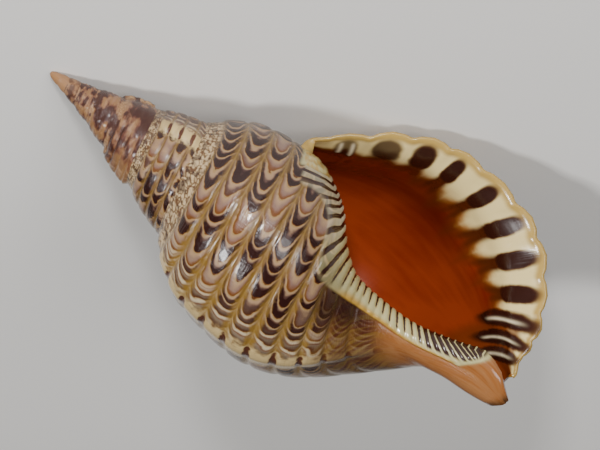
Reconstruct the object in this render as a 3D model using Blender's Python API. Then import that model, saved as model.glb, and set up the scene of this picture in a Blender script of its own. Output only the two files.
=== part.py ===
# A large triton shell, grown as one piece and modelled as one solid: spire, body whorl, old varices,
# flared outer lip, folded inner lip, beak, open siphonal canal and the hollow behind the mouth.
#
# A place on the wall is given by two numbers. n counts half turns of the coil: 0 at the lip and
# negative towards the tip. t counts spiral ribs down the whorl: 0 at the suture, 13 at the canal's end.
# Section points are (distance along the axis from the spiral's own centre, radius), in millimetres,
# and so is every other length here. In the shell's own frame x points to the mouth's side, y out of
# the mouth and z down the axis. The size is that of a full-grown shell, 320 mm from tip to canal.

import bisect
import math

import bpy
from mathutils import Matrix, Vector

MM = 0.001

# The coil
SUTURE_ALONG = 95.8  # where the suture crosses the axis direction one turn before the lip
SUTURE_RADIUS = 51.9  # radius of the suture where the lip joins
LIP_SUTURE_ALONG = 147.4  # and its distance along the axis
GROWTH = 1.185  # growth along the axis for each half turn
LIP_DROP = 0.096  # the last half turn falls this much further
TIP_RADIUS = 1.0
SUTURE_POWER = 1.3
TIP_ALONG = 7.0  # the worn tip, from the spiral's centre
FIRST = -15  # half turns before the lip at which the tip's coil starts
STEPS = 16  # columns for each half turn
SEEN = 4.5  # ribs of a spire whorl that the next whorl leaves showing
CANAL_END = 13.0
SPIRE_BULGE = 0.05  # how far a seen band stands out, as a share of its height
BODY_BULGE = 0.12
COLUMN_RADIUS = 7.0  # least radius of the columella
BEAK_RADIUS = 5.2  # and of its free end

# Half sections of the last turn, from the suture to the canal's end, at these ribs
RIBS = (0, 0.7, 1.5, 2.5, 3.5, 4.5, 5.5, 6.5, 7.5, 8.5, 9.5, 10.5, 11.5, 12.25, 12.6, 12.8, 13)
SECTIONS = {
    -2.0: (
        (96, 28.7), (100, 33.3), (108, 40.1), (121, 47.6), (135, 51.0), (147.4, 51.9),
        (162, 49.9), (174, 44.2), (184, 37.3), (190, 28.7), (198, 19.5), (212, 10.9),
        (242, 8.0), (289, 9.5), (303, 12.2), (317, 10.8), (329, 5.2),
    ),
    -1.5: (
        (104, 34.0), (111, 40.7), (119, 48.2), (133, 55.6), (147, 59.1), (161, 59.9),
        (174, 58.5), (188, 53.9), (200, 45.9), (210, 35.6), (220, 25.2), (232, 16.1),
        (253, 9.7), (282, 8.0), (302, 8.6), (316, 8.8), (329, 8.6),
    ),
    -1.0: (
        (115, 37.5), (121, 44.2), (130, 52.2), (143, 60.8), (158, 64.8), (174, 67.1),
        (190, 67.7), (205, 64.2), (219, 57.1), (230, 47.6), (240, 36.7), (251, 24.7),
        (266, 11.5), (288, 11.9), (305, 14.1), (315, 13.5), (324, 12.0),
    ),
    -0.5: (
        (130, 44.7), (136, 52.8), (146, 61.9), (162, 72.8), (179, 79.1), (197, 82.0),
        (216, 81.4), (235, 76.8), (251, 68.2), (265, 56.2), (276, 43.0), (286, 31.0),
        (296, 20.6), (308, 17.2), (317, 15.5), (320.5, 14.6), (323, 13.8),
    ),
    0.0: (
        (147.4, 51.9), (153, 57.9), (170, 68.2), (190, 80.9), (210, 90.0), (228, 92.9),
        (251, 91.8), (271, 83.4), (289, 68.8), (304, 51.6), (314, 36.7), (318, 25.2),
        (320, 17.2), (324, 12.5), (325, 10.5), (325, 9.5), (325, 8.5),
    ),
}
# How far, in half turns, the beak's section is wound on at the last of those ribs
BEAK_TURN = {-2.0: (0.08, 0.155, 0.27, 0.65), -1.5: (0.05, 0.1, 0.18, 0.295)}
CANAL_SHIFT = 10.3  # the canal leans this far to the mouth's side
CANAL_SHIFT_FROM = 253
CANAL_SHIFT_TO = 312

# Relief
RIB_GROOVE = 1.3
RIB_CROWN = 0.5
LAST_RIB = 11.5
VARICES = (-1.13, -2.42, -3.7, -5.0, -6.05)  # old lips, in half turns
VARIX_HEIGHT = 3.2
VARIX_WIDTH = 0.075
LIP_VARIX_AT = -0.1
LIP_VARIX_SHARE = 0.35  # of the flare's height
LIP_FLARE = (0, 4.6, 6.9, 9.8, 11.5, 12.6, 12.6, 12.6, 11.5, 9.2, 6.9, 4.6, 2.3, 0.6, 0.3, 0.1, 0)
FLARE_LENGTH = 0.15
SCALLOP = 2.2
CALLUS = 1.3  # thickness of the glossy coat beside the mouth
CALLUS_FROM = 189  # along the axis, where the callus spreads over the base
CALLUS_EDGE = -1.44
CALLUS_STRIP = -1.9  # above there it is only a strip beside the mouth
FOLDS = 30
FOLD_HEIGHT = 0.8
FOLDS_FROM = 5.0
FOLDS_TO = 12.6

# The hollow behind the mouth
HOLLOW_END = -2.0  # it reaches one turn back
CORNER_RIB = 5.0  # the rib of the turn before on which the mouth's upper corner lies
LIP_EDGE = 1.8
LIP_BODY = 11.5
WALL = 3.4
CHANNEL_CENTRE = (10.8, -3.5)  # the canal's channel, where it opens at the end
CHANNEL_RADIUS = 6.0
CHANNEL_ALONG = 322
CHANNEL_RISE = 4  # its bed climbs this much to the beak
CHANNEL_STEPS = 9
LINING_LEAD = 0.07  # how far, in half turns, the inner wall runs in behind the beak's free edge
LINING_LEAN = 0.45
FIRST_INNER_RIB = 0.7
FINE_UNTIL = -0.25  # the hollow's rings have more points from here to the lip

# It lies still on its back, leaning on the spire's tip and the flared lip: the shell laid down with
# its mouth up is turned about its axis, and then the canal's end is raised
ROLL = math.radians(52.14)
CANAL_UP = math.radians(24.34)

SHELL_COLOR = (0.52, 0.3, 0.16, 1)
SHELL_ROUGHNESS = 0.28
SHARP_EDGE = math.radians(50)


def smooth(x):
    x = min(1.0, max(0.0, x))
    return x * x * (3 - 2 * x)


def bump(x):
    return math.exp(-x * x)


def hermite(values, places, x):
    # A smooth curve through values at places, read at x
    last = len(places) - 1
    i = 0
    while i < last - 1 and x > places[i + 1]:
        i += 1

    def slope(k):
        before = max(k - 1, 0)
        after = min(k + 1, last)
        return (values[after] - values[before]) / (places[after] - places[before])

    width = places[i + 1] - places[i]
    u = min(1.0, max(0.0, (x - places[i]) / width))
    rise = values[i + 1] - values[i]
    start = slope(i) * width
    end = slope(i + 1) * width
    return values[i] + u * (start + u * (3 * rise - 2 * start - end + u * (start + end - 2 * rise)))


def suture(n):
    along = SUTURE_ALONG * GROWTH ** (n + 2)
    along *= 1 + LIP_DROP * smooth(n + 1)
    radius = TIP_RADIUS + (SUTURE_RADIUS - TIP_RADIUS) * (along / LIP_SUTURE_ALONG) ** SUTURE_POWER
    return along, radius


def growth_of(n):
    return suture(n)[0] / LIP_SUTURE_ALONG


def early_section(n):
    # A section before the last turn: its seen band, then the part that the next whorl covers
    upper = suture(n)
    lower = suture(n + 2)
    run = lower[0] - upper[0]
    rise = lower[1] - upper[1]
    bulge = SPIRE_BULGE + (BODY_BULGE - SPIRE_BULGE) * smooth(n + 3)
    shrink_along = lower[0] / LIP_SUTURE_ALONG
    shrink_radius = lower[1] / SUTURE_RADIUS
    back = smooth((-2 - n) / 0.3)
    points = []
    for t, (along, radius) in zip(RIBS, SECTIONS[-2.0]):
        if t <= SEEN:
            share = (t / SEEN) ** 1.15
            out = bulge * math.sin(math.pi * share)
            points.append((upper[0] + share * run - out * rise, upper[1] + share * rise + out * run))
            continue
        least = BEAK_RADIUS + 2 * back if t > 12 else COLUMN_RADIUS
        points.append((along * shrink_along, max(radius * shrink_radius, least)))
    return points


def turn_at(knot, i):
    # How far the section's point i is wound on round the canal
    late = i - (len(RIBS) - 4)
    if late < 0:
        return 0.0
    if knot in BEAK_TURN:
        return BEAK_TURN[knot][late]
    return 0.0


section_store = {}


def section(n):
    # The (along, radius, turn) of every rib in RIBS, before any relief
    key = round(n, 6)
    if key in section_store:
        return section_store[key]
    if n < -3:
        made = [(along, radius, 0.0) for along, radius in early_section(n)]
        section_store[key] = made
        return made
    knots = [-3.5 + 0.5 * k for k in range(8)]
    rows = []
    for knot in knots:
        if knot < -2:
            rows.append([(a, r, 0.0) for a, r in early_section(knot)])
        else:
            rows.append([(a, r, turn_at(knot, i)) for i, (a, r) in enumerate(SECTIONS[knot])])
    made = []
    for i in range(len(RIBS)):
        made.append(tuple(hermite([row[i][axis] for row in rows], knots, n) for axis in range(3)))
    upper = suture(n)
    lower = suture(n + 2) if n < -2 else None
    fixed = []
    for i, t in enumerate(RIBS):
        along, radius, turn = made[i]
        if t <= SEEN:
            near = 1 - t / SEEN
            along += near * (upper[0] - made[0][0])
            radius += near * (upper[1] - made[0][1])
        if t <= SEEN and lower:
            far = t / SEEN
            at_seen = made[RIBS.index(SEEN)]
            along += far * (lower[0] - at_seen[0])
            radius += far * (lower[1] - at_seen[1])
        fixed.append((along, radius, turn))
    section_store[key] = fixed
    return fixed


def outline(n, t):
    rows = section(n)
    return tuple(hermite([row[axis] for row in rows], RIBS, t) for axis in range(3))


def place(n, t, out=0.0, lean_share=1.0, turn_share=1.0):
    # The point of the wall at n and t, moved out along the section's normal
    nudge = 0.02
    along, radius, turn = outline(n, t)
    before = outline(n, max(t - nudge, 0))
    after = outline(n, min(t + nudge, CANAL_END))
    run = after[0] - before[0]
    rise = after[1] - before[1]
    size = math.hypot(run, rise)
    along -= out * rise / size
    radius += out * run / size
    angle = math.pi * (n + turn * turn_share)
    lean = (along - CANAL_SHIFT_FROM) / (CANAL_SHIFT_TO - CANAL_SHIFT_FROM)
    shift = CANAL_SHIFT * smooth(lean) * lean_share
    return Vector((shift + radius * math.cos(angle), radius * math.sin(angle), along))


def rib_relief(t):
    if t <= 1:
        return -RIB_GROOVE * smooth(t)
    part = t % 1
    side = min(part, 1 - part)
    groove = -RIB_GROOVE * (1 - smooth(side / 0.2))
    crown = RIB_CROWN * math.sin(math.pi * part)
    return (groove + crown) * smooth((LAST_RIB + 0.5 - t) / 2.5)


def callus(n, t):
    # 1 where the mouth's inner side is coated, 0 elsewhere
    if n < -2.2 or n > -1.2 or t < SEEN:
        return 0.0
    along = outline(n, t)[0]
    spread = smooth((along - CALLUS_FROM) / 8)
    edge = CALLUS_STRIP + (CALLUS_EDGE - CALLUS_STRIP) * spread
    return smooth((edge - n) / 0.06) * smooth((t - SEEN) / 0.5)


def inner_lip_lengths():
    # Length along the inner lip from its upper corner to each rib between the first and last fold
    pieces = 400
    ribs = [FOLDS_FROM + (FOLDS_TO - FOLDS_FROM) * k / pieces for k in range(pieces + 1)]
    lengths = [0.0]
    for before, after in zip(ribs, ribs[1:]):
        start = outline(-2, before)
        end = outline(-2, after)
        lengths.append(lengths[-1] + math.hypot(end[0] - start[0], end[1] - start[1]))
    return ribs, lengths


def between(places, values, x):
    # Straight-line reading of values at places
    i = min(max(bisect.bisect_right(places, x), 1), len(places) - 1)
    share = (x - places[i - 1]) / (places[i] - places[i - 1])
    return values[i - 1] + share * (values[i] - values[i - 1])


def fold_relief(t):
    if t < FOLDS_FROM or t > FOLDS_TO:
        return 0.0
    ribs, lengths = fold_lengths
    phase = FOLDS * between(ribs, lengths, t) / lengths[-1]
    return FOLD_HEIGHT * (0.5 - 0.5 * math.cos(2 * math.pi * phase))


fold_lengths = inner_lip_lengths()


def lip_flare(n, t):
    # The outward flare of the lip and the low varix behind it
    if n < -0.6:
        return 0.0
    flare = hermite(LIP_FLARE, RIBS, t)
    near_edge = max(0.0, 1 + n / FLARE_LENGTH) ** 2
    return flare * near_edge + LIP_VARIX_SHARE * flare * bump((n - LIP_VARIX_AT) / 0.05)


def lip_scallop(n, t):
    # The lip's edge has a corner at the middle of each rib
    if n < -FLARE_LENGTH or t <= 1 or t >= LAST_RIB:
        return 0.0
    near_edge = (1 + n / FLARE_LENGTH) ** 2
    corner = 1 - 2 * abs(t % 1 - 0.5)
    return SCALLOP * (corner**2 - 0.3) * near_edge * smooth((LAST_RIB - t) / 1.5)


def varix_ridge(n, t):
    # Old lips stand up as ridges, steep on the side that grew last
    size = growth_of(n)
    height = 0.0
    for at in VARICES:
        away = (n - at) / VARIX_WIDTH
        height += VARIX_HEIGHT * size**0.35 * bump(away * (1.6 if away > 0 else 0.8))
    return height * smooth(t / 0.7) * smooth((LAST_RIB - t) / 2)


def relief(n, t):
    size = growth_of(n)
    coated = callus(n, t)
    out = (rib_relief(t) * size + varix_ridge(n, t)) * (1 - coated)
    if n <= -2:
        out *= smooth((SEEN - t) / 0.35) if t <= SEEN else 1 - smooth((-2 - n) / 0.2)
    elif n < -1.9:
        near = smooth((n + 2) / 0.1)
        out *= 1 - (1 - near) * (1 - smooth(abs(t - SEEN) / 0.35))
    coat_end = smooth((FOLDS_TO + 0.1 - t) / 0.3)
    out += coated * coat_end * (CALLUS + fold_relief(t))
    return out + lip_flare(n, t) + lip_scallop(n, t)


def outer(n, t):
    return place(n, t, relief(n, t))


def wall_at(n, t):
    # Thickness of the wall: thin at the lip's edge, thickest in the lip's varix, then even
    even = WALL * growth_of(n) ** 0.5
    swell = (LIP_BODY - WALL) * smooth(t / 3) * (1 - smooth((t - 8.5) / 3))
    if n > -0.08:
        share = math.sin(-n / 0.08 * math.pi / 2)
        return LIP_EDGE + (even - LIP_EDGE + swell) * share
    return even + swell * (1 - smooth((-n - 0.08) / 0.17))


def inner(n, t):
    # The wall's inside follows the flare, and at the edge the ribs too
    out = relief(n, t) if n == 0 else lip_flare(n, t)
    return place(n, t, out - wall_at(n, t))


class Skin:
    def __init__(self):
        self.points = []
        self.faces = []

    def add(self, point):
        self.points.append(point)
        return len(self.points) - 1

    def stitch(self, left, right):
        # Triangles between two rows of (parameter, vertex), which may differ in count
        i = 0
        j = 0
        while i < len(left) - 1 or j < len(right) - 1:
            step_left = j == len(right) - 1
            if i < len(left) - 1 and not step_left:
                middle_left = left[i][0] + left[i + 1][0]
                middle_right = right[j][0] + right[j + 1][0]
                step_left = middle_left <= middle_right
            if step_left:
                self.face(left[i][1], right[j][1], left[i + 1][1])
                i += 1
            else:
                self.face(left[i][1], right[j][1], right[j + 1][1])
                j += 1

    def face(self, a, b, c):
        if a != b and b != c and a != c:
            self.faces.append((a, b, c))


def rib_rows(first, last, parts):
    return [rib + part for rib in range(first, last) for part in parts]


def rows_at(n):
    # The ribs at which a column has points: fine on the body, coarse near the tip
    if n < -9.5:
        return [0, 2.0, SEEN]
    if n < -6.5:
        return [0, 0.6, 1.6, 3.0, SEEN]
    if n < -4.4:
        return [0, 0.35, 1.0, 1.5, 2.0, 2.5, 3.0, 3.5, 4.0, SEEN]
    seen = [0, 0.35, 0.7, 1.0] + rib_rows(1, 4, (0.22, 0.78, 1.0)) + [4.22]
    if n < -2:
        return seen + [SEEN]
    canal = [11.5, 11.9, 12.25, 12.6, 12.8, CANAL_END]
    if n > -1.5:
        return seen + [SEEN, 4.78, 5.0] + rib_rows(5, 11, (0.22, 0.78, 1.0)) + canal
    count = 2 * FOLDS
    ribs, lengths = fold_lengths
    folds = [between(lengths, ribs, lengths[-1] * k / count) for k in range(count + 1)]
    return seen + [SEEN] + folds + [12.7, 12.8, 12.9, CANAL_END]


def build_outside(skin):
    # Every column of the outside, each a list of (rib, vertex), welded to the whorl above
    columns = []
    for i in range(-FIRST * STEPS + 1):
        n = FIRST + i / STEPS
        column = []
        for t in rows_at(n):
            if t == 0 and i >= 2 * STEPS:
                column.append((t, columns[i - 2 * STEPS][1][SEEN]))
            else:
                column.append((t, skin.add(outer(n, t))))
        columns.append((column, dict(column)))
    lists = [column for column, _ in columns]
    for left, right in zip(lists, lists[1:]):
        skin.stitch(left, [row for row in right if row[0] <= left[-1][0]])
    tip = skin.add(Vector((0, 0, TIP_ALONG)))
    ring = [columns[i][1][0] for i in range(2 * STEPS + 1)]
    ring += [vertex for _, vertex in reversed(lists[0])][1:]
    for a, b in zip(ring, ring[1:]):
        skin.face(tip, b, a)
    return lists


def outer_end(n):
    # The rib at which the hollow's outer wall turns in to the columella
    return hermite([9.2, 10.2, 10.7, 11.0, 12.0, 13.0], [-2.2, -1.5, -1.0, -0.5, -0.2, 0.0], n)


def channel_point(share):
    # From the wall's end round below the beak, in shortening steps
    angle = math.radians(20 - 235 * (1 - (1 - share) ** 2.6))
    x = CHANNEL_CENTRE[0] + CHANNEL_RADIUS * math.cos(angle)
    y = CHANNEL_CENTRE[1] + CHANNEL_RADIUS * math.sin(angle)
    return Vector((x, y, CHANNEL_ALONG + CHANNEL_RISE * smooth(2 * share - 1)))


def lining_point(n, t):
    # The hollow's inner wall: the turn before, which at the canal runs in behind the beak's free edge
    lead = LINING_LEAD * smooth((t - CORNER_RIB) / 2)
    deep = place(n - 2 - lead, t, CALLUS, LINING_LEAN, 0.0)
    edge = outer(-2, t)
    behind = 1.0 if t < 11.5 else smooth(-n / 0.25)
    return edge.lerp(deep, behind)


def hollow_ring(skin, n, mouth_column):
    # One section of the hollow: upper corner, outer wall, floor, then up the inner wall
    low = FIRST_INNER_RIB
    high = outer_end(n)
    if n == 0:
        ribs = [t for t in rows_at(0) if t >= low]
    else:
        count = 24 if n > FINE_UNTIL else 13
        ribs = [low + (high - low) * k / count for k in range(count + 1)]
    wall = [((t - low) / (high - low), skin.add(inner(n, t))) for t in ribs]
    spread = CANAL_END - CORNER_RIB
    if n == 0:
        up = [(vertex, t) for t, vertex in mouth_column if t >= CORNER_RIB]
        lining = [((CANAL_END - t) / spread, vertex) for vertex, t in reversed(up)]
    else:
        every = 2 if n > FINE_UNTIL else 4
        ribs = [t for t in rows_at(-2) if t >= CORNER_RIB]
        ribs = ribs[: -5 : every] + ribs[-5 :: 2]
        lining = []
        lift = 0.1 * smooth(-n / 0.8)
        for t in reversed(ribs):
            deeper = t - lift * (t - CORNER_RIB) / spread
            lining.append(((CANAL_END - t) / spread, skin.add(lining_point(n, deeper))))
    start = skin.points[wall[-1][1]]
    end = skin.points[lining[0][1]]
    weight = smooth(1 + n / 0.3)
    floor = [(0.0, wall[-1][1])]
    for k in range(1, CHANNEL_STEPS):
        share = k / CHANNEL_STEPS
        straight = start.lerp(end, share)
        floor.append((share, skin.add(straight.lerp(channel_point(share), weight))))
    floor.append((1.0, lining[0][1]))
    wall = [(-0.05, lining[-1][1])] + wall
    return wall, floor, lining


def build_hollow(skin, lists):
    # Rings from the lip inwards, close together under the flare
    turns = [0, -0.025, -0.055, -0.09, -0.13, -0.18, -0.24, -0.3, -0.4]
    while turns[-1] > HOLLOW_END + 0.01:
        turns.append(round(turns[-1] - 0.1, 3))
    mouth_column = lists[(-2 - FIRST) * STEPS]
    rings = [hollow_ring(skin, n, mouth_column) for n in turns]
    for near, far in zip(rings, rings[1:]):
        for part in range(3):
            skin.stitch(near[part], far[part])
    wall, floor, lining = rings[-1]
    back = [(0.8 * (1 - share), vertex) for share, vertex in reversed(lining)]
    back += [(1 - 0.2 * share, vertex) for share, vertex in reversed(floor[1:-1])]
    skin.stitch(wall, back)
    skin.stitch(lists[-1], rim_rows(rings[0][0]))
    end_edge = [(i / STEPS, lists[-1 - i][-1][1]) for i in range(2 * STEPS + 1)]
    canal_edge = [(2 * share, vertex) for share, vertex in rings[0][1]]
    skin.stitch(end_edge, canal_edge)


def rim_rows(wall):
    # The inner edge of the lip, with the ribs that it joins on the outer edge
    low = FIRST_INNER_RIB
    rows = []
    for share, vertex in wall:
        rows.append((0.0 if share < 0 else low + (CANAL_END - low) * share, vertex))
    return rows


def shell_material():
    material = bpy.data.materials.new("shell")
    material.use_nodes = True
    surface = material.node_tree.nodes["Principled BSDF"]
    surface.inputs["Base Color"].default_value = SHELL_COLOR
    surface.inputs["Roughness"].default_value = SHELL_ROUGHNESS
    surface.inputs["Metallic"].default_value = 0.0
    return material


def shell_object():
    skin = Skin()
    lists = build_outside(skin)
    build_hollow(skin, lists)
    turn = Matrix.Rotation(CANAL_UP, 4, "Y") @ Matrix.Rotation(ROLL, 4, "X")
    to_table = Matrix(((0, 0, -1), (-1, 0, 0), (0, 1, 0)))
    points = [turn @ (to_table @ point) for point in skin.points]
    low = Vector([min(point[axis] for point in points) for axis in range(3)])
    high = Vector([max(point[axis] for point in points) for axis in range(3)])
    foot = Vector(((low.x + high.x) / 2, (low.y + high.y) / 2, low.z))
    mesh = bpy.data.meshes.new("triton_shell")
    mesh.from_pydata([(point - foot) * MM for point in points], [], skin.faces)
    mesh.validate()
    mesh.shade_smooth()
    mesh.set_sharp_from_angle(angle=SHARP_EDGE)
    mesh.materials.append(shell_material())
    shell = bpy.data.objects.new("triton_shell", mesh)
    bpy.context.scene.collection.objects.link(shell)
    return shell


def main():
    for thing in list(bpy.data.objects):
        bpy.data.objects.remove(thing)
    shell_object()


main()
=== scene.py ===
import bisect
import math

import bpy
import numpy as np
from mathutils import Matrix, Vector


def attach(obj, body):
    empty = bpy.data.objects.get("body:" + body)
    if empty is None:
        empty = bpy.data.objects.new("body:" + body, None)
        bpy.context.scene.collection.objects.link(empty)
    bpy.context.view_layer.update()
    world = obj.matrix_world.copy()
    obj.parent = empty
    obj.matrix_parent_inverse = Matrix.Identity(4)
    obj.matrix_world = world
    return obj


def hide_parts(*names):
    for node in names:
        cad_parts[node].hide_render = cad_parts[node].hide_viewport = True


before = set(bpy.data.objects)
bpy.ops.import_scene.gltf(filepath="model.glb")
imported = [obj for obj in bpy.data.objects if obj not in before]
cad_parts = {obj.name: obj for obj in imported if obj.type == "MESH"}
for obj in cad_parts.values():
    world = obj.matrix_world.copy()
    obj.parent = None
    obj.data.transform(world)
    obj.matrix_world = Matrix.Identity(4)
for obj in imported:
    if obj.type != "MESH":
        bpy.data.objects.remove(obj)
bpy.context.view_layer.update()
print("frame loaded:", ", ".join(sorted(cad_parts)))

# Triton shell: spire, ribbed whorls, flared lip, folded inner lip, beak and the mouth's hollow.
# A place on the wall is (turn, rib): turn counts the coil's half turns, 0 at the lip and negative
# towards the tip; rib counts spiral ribs, 0 at the suture and 13 at the canal's end.
# Lengths are in millimetres until the finished mesh is laid in the frame.


openTrees = []  # the helpers add their nodes to the last of these


def addNode(kind, **settings):
    node = openTrees[-1].nodes.new(kind)
    for name, value in settings.items():
        setattr(node, name, value)
    return node


def plug(value, socket):
    # a socket or a plain value goes into socket
    if isinstance(value, bpy.types.NodeSocket):
        openTrees[-1].links.new(value, socket)
    else:
        socket.default_value = value


def fed(kind, given, **settings):
    # the outputs of a new node, after its inputs are set or linked
    node = addNode(kind, **settings)
    for name, value in given.items():
        plug(value, node.inputs[name])
    return node.outputs


def joined(x, y, z=0.0):
    return fed("ShaderNodeCombineXYZ", {0: x, 1: y, 2: z})[0]


def calc(operation, *values):
    return fed("ShaderNodeMath", dict(enumerate(values)), operation=operation)[0]


def add(*values):
    total = values[0]
    for value in values[1:]:
        total = calc("ADD", total, value)
    return total


def times(*values):
    product = values[0]
    for value in values[1:]:
        product = calc("MULTIPLY", product, value)
    return product


def minus(value, less):
    return calc("SUBTRACT", value, less)


def over(value, whole):
    return calc("DIVIDE", value, whole)


def inverse(value):
    return minus(1, value)


def rise(value, start, end):
    # 0 before start, 1 after end, smooth between; start may be the larger
    given = {"Value": value, "From Min": min(start, end), "From Max": max(start, end)}
    if start > end:
        given.update({"To Min": 1, "To Max": 0})
    return fed("ShaderNodeMapRange", given, interpolation_type="SMOOTHSTEP")["Result"]


def hump(value, middle, width):
    # a rounded peak of height 1 at middle
    away = over(minus(value, middle), width)
    return calc("EXPONENT", times(away, away, -1))


def placed(name, data):
    thing = bpy.data.objects.new(name, data)
    bpy.context.scene.collection.objects.link(thing)
    return thing


# the coil: the same rule as the solid's, read at finer steps
coil = {
    "sutureAlong": 95.8,  # where the suture is along the axis, one turn before the lip
    "lipSutureAlong": 147.4,
    "sutureRadius": 51.9,
    "growth": 1.185,  # for each half turn
    "lipDrop": 0.096,
    "tipRadius": 1.0,
    "suturePower": 1.3,
    "tipAlong": 7.0,
    "firstTurn": -15,
    "steps": 96,  # columns for each half turn
    "seenRibs": 4.5,
    "canalEnd": 13.0,
    "spireBulge": 0.05,
    "bodyBulge": 0.12,
    "columnRadius": 7.0,
    "beakRadius": 5.2,
    "canalShift": 10.3,
    "shiftFrom": 253,
    "shiftTo": 312,
    "callus": 1.3,
    "callusEdge": -1.44,
    "foldsTo": 12.7,
    "beakSlant": 0.35,
    "beakCornerAt": -1.8,
    "beakCornerWidth": 0.16,
    "beakCornerCut": 2.6,
    "flareFrom": -0.6,
    "flareLength": 0.15,
    "lipVarixAt": -0.1,
    "lipVarixWidth": 0.05,
    "lipVarixShare": 0.35,
    "coatTurns": (-2.2, -1.2),  # the coat lies between these
    "foldTurns": (-2.3, -1.2),
    "foldSteps": 14,  # how often a fold's place at the lip's edge is bettered
    "tipRings": (0.7, 0.4, 0.18, 0.05),
    "tipRoundness": 0.42,
}
ribs = [0, 0.7, 1.5, 2.5, 3.5, 4.5, 5.5, 6.5, 7.5, 8.5, 9.5, 10.5, 11.5, 12.25, 12.6, 12.8, 13]
lipFlare = [0, 4.6, 6.9, 9.8, 11.5, 12.6, 12.6, 12.6, 11.5, 9.2, 6.9, 4.6, 2.3, 0.6, 0.3, 0.1, 0]
sections = {  # (along the axis, radius) at each of those ribs, for five half turns
    -2.0: (
        (96, 28.7), (100, 33.3), (108, 40.1), (121, 47.6), (135, 51.0), (147.4, 51.9),
        (162, 49.9), (174, 44.2), (184, 37.3), (190, 28.7), (198, 19.5), (212, 10.9),
        (242, 8.0), (289, 9.5), (303, 12.2), (317, 10.8), (329, 5.2),
    ),
    -1.5: (
        (104, 34.0), (111, 40.7), (119, 48.2), (133, 55.6), (147, 59.1), (161, 59.9),
        (174, 58.5), (188, 53.9), (200, 45.9), (210, 35.6), (220, 25.2), (232, 16.1),
        (253, 9.7), (282, 8.0), (302, 8.6), (316, 8.8), (329, 8.6),
    ),
    -1.0: (
        (115, 37.5), (121, 44.2), (130, 52.2), (143, 60.8), (158, 64.8), (174, 67.1),
        (190, 67.7), (205, 64.2), (219, 57.1), (230, 47.6), (240, 36.7), (251, 24.7),
        (266, 11.5), (288, 11.9), (305, 14.1), (315, 13.5), (324, 12.0),
    ),
    -0.5: (
        (130, 44.7), (136, 52.8), (146, 61.9), (162, 72.8), (179, 79.1), (197, 82.0),
        (216, 81.4), (235, 76.8), (251, 68.2), (265, 56.2), (276, 43.0), (286, 31.0),
        (296, 20.6), (308, 17.2), (317, 15.5), (320.5, 14.6), (323, 13.8),
    ),
    0.0: (
        (147.4, 51.9), (153, 57.9), (170, 68.2), (190, 80.9), (210, 90.0), (228, 92.9),
        (251, 91.8), (271, 83.4), (289, 68.8), (304, 51.6), (314, 36.7), (318, 25.2),
        (320, 17.2), (324, 12.5), (325, 10.5), (325, 9.5), (325, 8.5),
    ),
}
coatEdge = (  # how far round the mouth's inner side is coated, at places along the axis
    (140, 155, 168, 176, 184, 191, 200, 330),
    (-1.78, -1.68, -1.7, -1.7, -1.66, -1.56, -1.46, -1.44),
)
innerLip = (  # how far to the side the inner lip's edge is, at places along the axis
    (156, 170, 181, 186, 190, 196, 201, 206, 216, 230, 250, 274, 300, 318),
    (52.2, 47.6, 41.3, 37.3, 32.7, 24.1, 19.5, 15.5, 11.2, 9.2, 9.2, 11.5, 18.9, 16.6),
)
foldCounts = (  # folds counted down that edge
    (157, 170, 175, 179.5, 183, 186.5, 190.5, 194.5, 199, 205, 212, 236, 259, 271, 285, 299, 311),
    (-1, 1, 2, 3, 4, 5.2, 6.3, 7.3, 8.4, 9.6, 11, 16.3, 21.3, 24, 27.5, 31, 33),
)
foldSlant = (  # how much the folds lean where they leave it
    (165, 171, 175, 179, 182, 185, 188, 194, 198, 205, 212, 236, 262, 275, 290, 299),
    (2.0, 1.95, 1.8, 1.5, 1.05, 0.75, 0.6, 0.37, 0.2, 0.0, -0.15, -0.4, -0.9, -1.3, -1.9, -1.4),
)
beakTurn = {-2.0: (0.08, 0.155, 0.27, 0.65), -1.5: (0.05, 0.1, 0.18, 0.295)}

hollow = {
    "end": -2.0,
    "cornerRib": 5.0,
    "lipEdge": 1.8,
    "lipBody": 11.5,
    "wall": 3.4,
    "channelCentre": (10.8, -3.5),
    "channelRadius": 6.0,
    "channelAlong": 322,
    "channelRise": 4,
    "channelSteps": 14,
    "channelFrom": 20,  # degrees round the channel's middle
    "channelOver": 235,
    "liningLead": 0.07,
    "liningLean": 0.45,
    "firstInnerRib": 0.7,
    "swellFrom": 0.08,  # half turns behind the lip's edge, where the wall is thickest
    "swellLength": 0.17,
    "wallRows": 50,
    # the rib at which the outer wall turns in to the columella, and at which turns
    "wallEnds": ((9.2, 10.2, 10.7, 11.0, 12.0, 13.0), (-2.2, -1.5, -1.0, -0.5, -0.2, 0.0)),
    "fineTurns": (
        0, -0.006, -0.013, -0.021, -0.03, -0.04, -0.05, -0.061, -0.073, -0.086,
        -0.1, -0.115, -0.13, -0.15, -0.17, -0.19, -0.21, -0.24,
    ),
    "step": 0.05,
}

pose = {  # how the shell lies, as in the solid
    "roll": math.radians(52.14),
    "canalUp": math.radians(24.34),
    "coilCentre": Vector((157.128, -5.356, -2.212)),
}


def smooth(x):
    x = np.clip(x, 0.0, 1.0)
    return x * x * (3 - 2 * x)


def peak(x):
    return np.exp(-np.square(x))


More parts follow.
